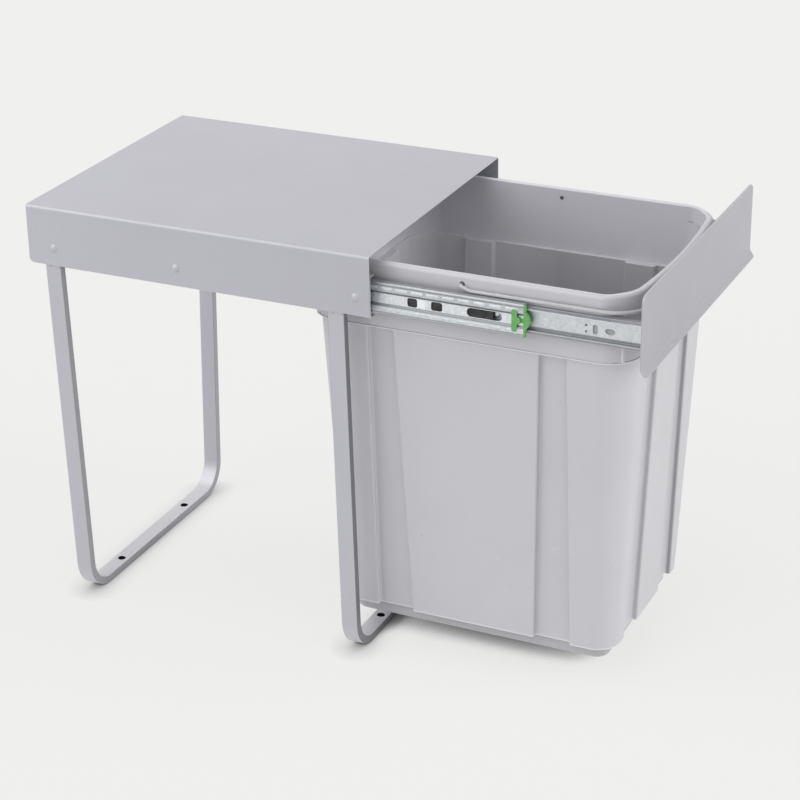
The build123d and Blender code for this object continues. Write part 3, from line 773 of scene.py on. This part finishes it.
def brokenEdges(node, settings):
    pickOnly(nodes[node])
    bpy.ops.object.duplicate()
    piece = bpy.context.active_object
    del piece["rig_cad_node"]
    piece.parent = None
    bpy.ops.object.mode_set(mode="EDIT")
    bpy.ops.mesh.select_all(action="SELECT")
    bpy.ops.mesh.remove_doubles(threshold=copyMerge["gap"])
    if settings["merge"]:
        bpy.ops.mesh.dissolve_limited(angle_limit=math.radians(copyMerge["flat"]))
    bpy.ops.object.mode_set(mode="OBJECT")
    bpy.ops.mesh.customdata_custom_splitnormals_clear()
    for index in range(edgeSlot + 1 - len(piece.data.materials)):
        piece.data.materials.append(finishes[slotOf[node]])
    addModifier(piece, "BEVEL", width=settings["edge"], segments=settings["steps"], limit_method="ANGLE",
                angle_limit=math.radians(settings["crease"]), use_clamp_overlap=False, loop_slide=False,
                material=edgeSlot)
    applyAll(piece)
    if "bow" in settings:
        bowRim(piece, settings["bow"])
    markFaces(piece, "edge", [float(face.material_index == edgeSlot) for face in piece.data.polygons])
    finishPiece(piece, settings["name"], bodyOf[node], finishOf(node))
    addModifier(piece, "WEIGHTED_NORMAL", keep_sharp=True)
    applyAll(piece)
    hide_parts(node)
    return piece


coverEdges = {"name": "foldedCover", "edge": 0.35 * mm, "steps": 2, "crease": 40, "merge": True}
legEdges = {"edge": 0.7 * mm, "steps": 3, "crease": 40, "merge": True}
plateEdges = {"name": "frontPlate", "edge": 0.45 * mm, "steps": 2, "crease": 40, "merge": True}
railEdges = {"edge": 0.3 * mm, "steps": 2, "crease": 40, "merge": False}
slideEdges = {"edge": 0.18 * mm, "steps": 2, "crease": 40, "merge": False}
clipEdges = {"edge": 0.3 * mm, "steps": 2, "crease": 40, "merge": True}
rimBow = {"front": -325.0 * mm, "foot": 286.0 * mm, "level": 327.9 * mm, "reach": 80.0 * mm,
          "sag": 4.8 * mm, "blend": 22.0 * mm, "cuts": 16}
tubEdges = {"name": "wasteTub", "edge": 0.5 * mm, "steps": 2, "crease": 28, "merge": True, "bow": rimBow}

brokenEdges("cover", coverEdges)
for end in ("front", "rear"):
    brokenEdges("leg_frame_" + end, {**legEdges, "name": end + "Legs"})
brokenEdges("front_plate", plateEdges)
brokenEdges("rear_bar", {**railEdges, "name": "rearBar"})
for side in sides:
    brokenEdges("side_rail_" + side, {**railEdges, "name": side + "Rail"})
    for member in ("outer", "middle", "inner"):
        brokenEdges(f"slide_{member}_{side}", {**slideEdges, "name": side + member.title() + "Slide"})
    brokenEdges("slide_clip_" + side, {**clipEdges, "name": side + "Clip"})
tub = brokenEdges("bin", tubEdges)

tubInside = {"middle": Vector((0.0, -0.22, 0.0)), "half": (0.1036, 0.1345), "top": 0.300, "fade": 0.03,
             "floorNormal": 0.9, "ledge": (0.329, 0.333), "ledgeNormal": 0.3, "ledgeShare": 0.8}


def markInside(piece, settings):
    # marks for painted shade inside the tub below the collar and painted light in its mouth, and the edges'
    # painted highlight is left off inside
    depths = []
    mouths = []
    for face, edgeHighlight in zip(piece.data.polygons, piece.data.attributes["edge"].data):
        away = face.center - settings["middle"]
        facesIn = face.normal.x * away.x + face.normal.y * away.y < 0
        inwards = facesIn or face.normal.z > settings["floorNormal"]
        inwards = inwards and abs(away.x) < settings["half"][0] and abs(away.y) < settings["half"][1]
        depth = min(max((settings["top"] - face.center.z) / settings["fade"], 0.0), 1.0)
        onLedge = settings["ledge"][0] < face.center.z < settings["ledge"][1]
        if onLedge and face.normal.z > settings["ledgeNormal"]:
            depth = settings["ledgeShare"]  # the front ledge would catch the light
        depths.append(depth if inwards else 0.0)
        mouths.append(1.0 - depth if inwards else 0.0)
        if inwards:
            edgeHighlight.value = 0.0
    markFaces(piece, "inside", depths)
    markFaces(piece, "mouth", mouths)


markInside(tub, tubInside)
print("edges broken")


# Dashes pressed out along both bands of the middle members

pressedDashes = {"length": 9.5 * mm, "width": 2.0 * mm, "thick": 0.8 * mm, "round": 0.2 * mm, "steps": 3,
                 "proud": 0.3 * mm, "pitch": 12.6 * mm, "count": 21, "first": -264.0 * mm,
                 "rise": 8.4 * mm, "level": 318.0 * mm, "face": 115.9 * mm}


def addDashes(side, settings):
    out = -1 if side == "left" else 1
    depth = settings["face"] + settings["proud"] - settings["thick"] / 2
    pickNothing()
    bpy.ops.mesh.primitive_cube_add(size=1, location=(out * depth, settings["first"], settings["level"]))
    row = bpy.context.active_object
    row.scale = (settings["thick"], settings["length"], settings["width"])
    bpy.ops.object.transform_apply(location=False, rotation=False, scale=True)
    bpy.ops.object.mode_set(mode="EDIT")
    bpy.ops.mesh.select_all(action="SELECT")
    bpy.ops.mesh.bevel(offset=settings["round"], segments=settings["steps"])
    bpy.ops.transform.translate(value=(0, 0, settings["rise"]))
    bpy.ops.mesh.duplicate()
    bpy.ops.transform.translate(value=(0, 0, -2 * settings["rise"]))
    bpy.ops.object.mode_set(mode="OBJECT")
    addModifier(row, "ARRAY", count=settings["count"], use_relative_offset=False, use_constant_offset=True,
                constant_offset_displace=(0, settings["pitch"], 0))
    applyAll(row)
    slot = "zinc_plated_steel"
    finishPiece(row, side + "Dashes", "middle_slide_" + side, finishes[slot])


for side in sides:
    addDashes(side, pressedDashes)
print("dashes added")


# Weld beads where the leg bars meet the cover's lower edge, each of a few drops (along, up, radius) in mm

weldBeads = {"drops": ((-1.5, 0.0, 0.75), (-0.7, 0.15, 0.95), (0.2, -0.05, 1.0),
                       (1.0, 0.1, 0.9), (1.7, 0.0, 0.7)),
             "ball": {"segments": 20, "ring_count": 12}, "grain": 0.22 * mm,
             "melt": {"factor": 0.5, "iterations": 3}, "across": 124.9 * mm, "level": 304.7 * mm,
             "lines": (-legLine, legLine), "reach": 4.0 * mm, "crease": 60}


def addWelds(settings):
    bead = None
    for along, rise, size in settings["drops"]:
        pickNothing()
        bpy.ops.mesh.primitive_uv_sphere_add(**settings["ball"], radius=size * mm,
                                             location=(0, along * mm, rise * mm))
        drop = bpy.context.active_object
        if bead:
            bead.select_set(True)
            bpy.context.view_layer.objects.active = bead
            bpy.ops.object.join()
        else:
            bead = drop
    pickOnly(bead)
    bpy.ops.object.transform_apply(location=True, rotation=True, scale=True)
    addModifier(bead, "REMESH", mode="VOXEL", voxel_size=settings["grain"])
    addModifier(bead, "SMOOTH", **settings["melt"])
    applyAll(bead)
    places = [(out * settings["across"], line + way * settings["reach"], settings["level"])
              for out in (-1, 1) for line in settings["lines"] for way in (-1, 1)]
    slot = "grey_paint"
    for index, place in enumerate(places):
        pickOnly(bead)
        if index < len(places) - 1:
            bpy.ops.object.duplicate()
        copy = bpy.context.active_object
        copy.location = place
        finishPiece(copy, f"weldBead{index + 1}", "frame", finishes[slot], settings["crease"])


addWelds(weldBeads)
print("welds added")


# Thin moulded bead round the lower edge of the tub's collar

collarBead = {"half": (102.8 * mm, 131.7 * mm), "middle": -220.0 * mm, "level": 288.6 * mm,
              "corner": 26.0 * mm, "steps": 12, "gauge": 0.7 * mm, "roundness": 3, "crease": 60}


def addCollarBead(settings):
    pickNothing()
    bpy.ops.mesh.primitive_plane_add(size=2, location=(0, settings["middle"], settings["level"]))
    bead = bpy.context.active_object
    bead.scale = (settings["half"][0], settings["half"][1], 1)
    bpy.ops.object.transform_apply(location=True, rotation=True, scale=True)
    bpy.ops.object.mode_set(mode="EDIT")
    bpy.ops.mesh.select_all(action="SELECT")
    bpy.ops.mesh.bevel(offset=settings["corner"], segments=settings["steps"], affect="VERTICES")
    bpy.ops.mesh.delete(type="ONLY_FACE")
    bpy.ops.object.mode_set(mode="OBJECT")
    bpy.ops.object.convert(target="CURVE")
    bead = bpy.context.active_object
    bead.data.bevel_depth = settings["gauge"]
    bead.data.bevel_resolution = settings["roundness"]
    bpy.ops.object.convert(target="MESH")
    bead = bpy.context.active_object
    slot = "bin_plastic"
    finishPiece(bead, "collarBead", "drawer", finishes[slot], settings["crease"])


addCollarBead(collarBead)
print("collar bead added")
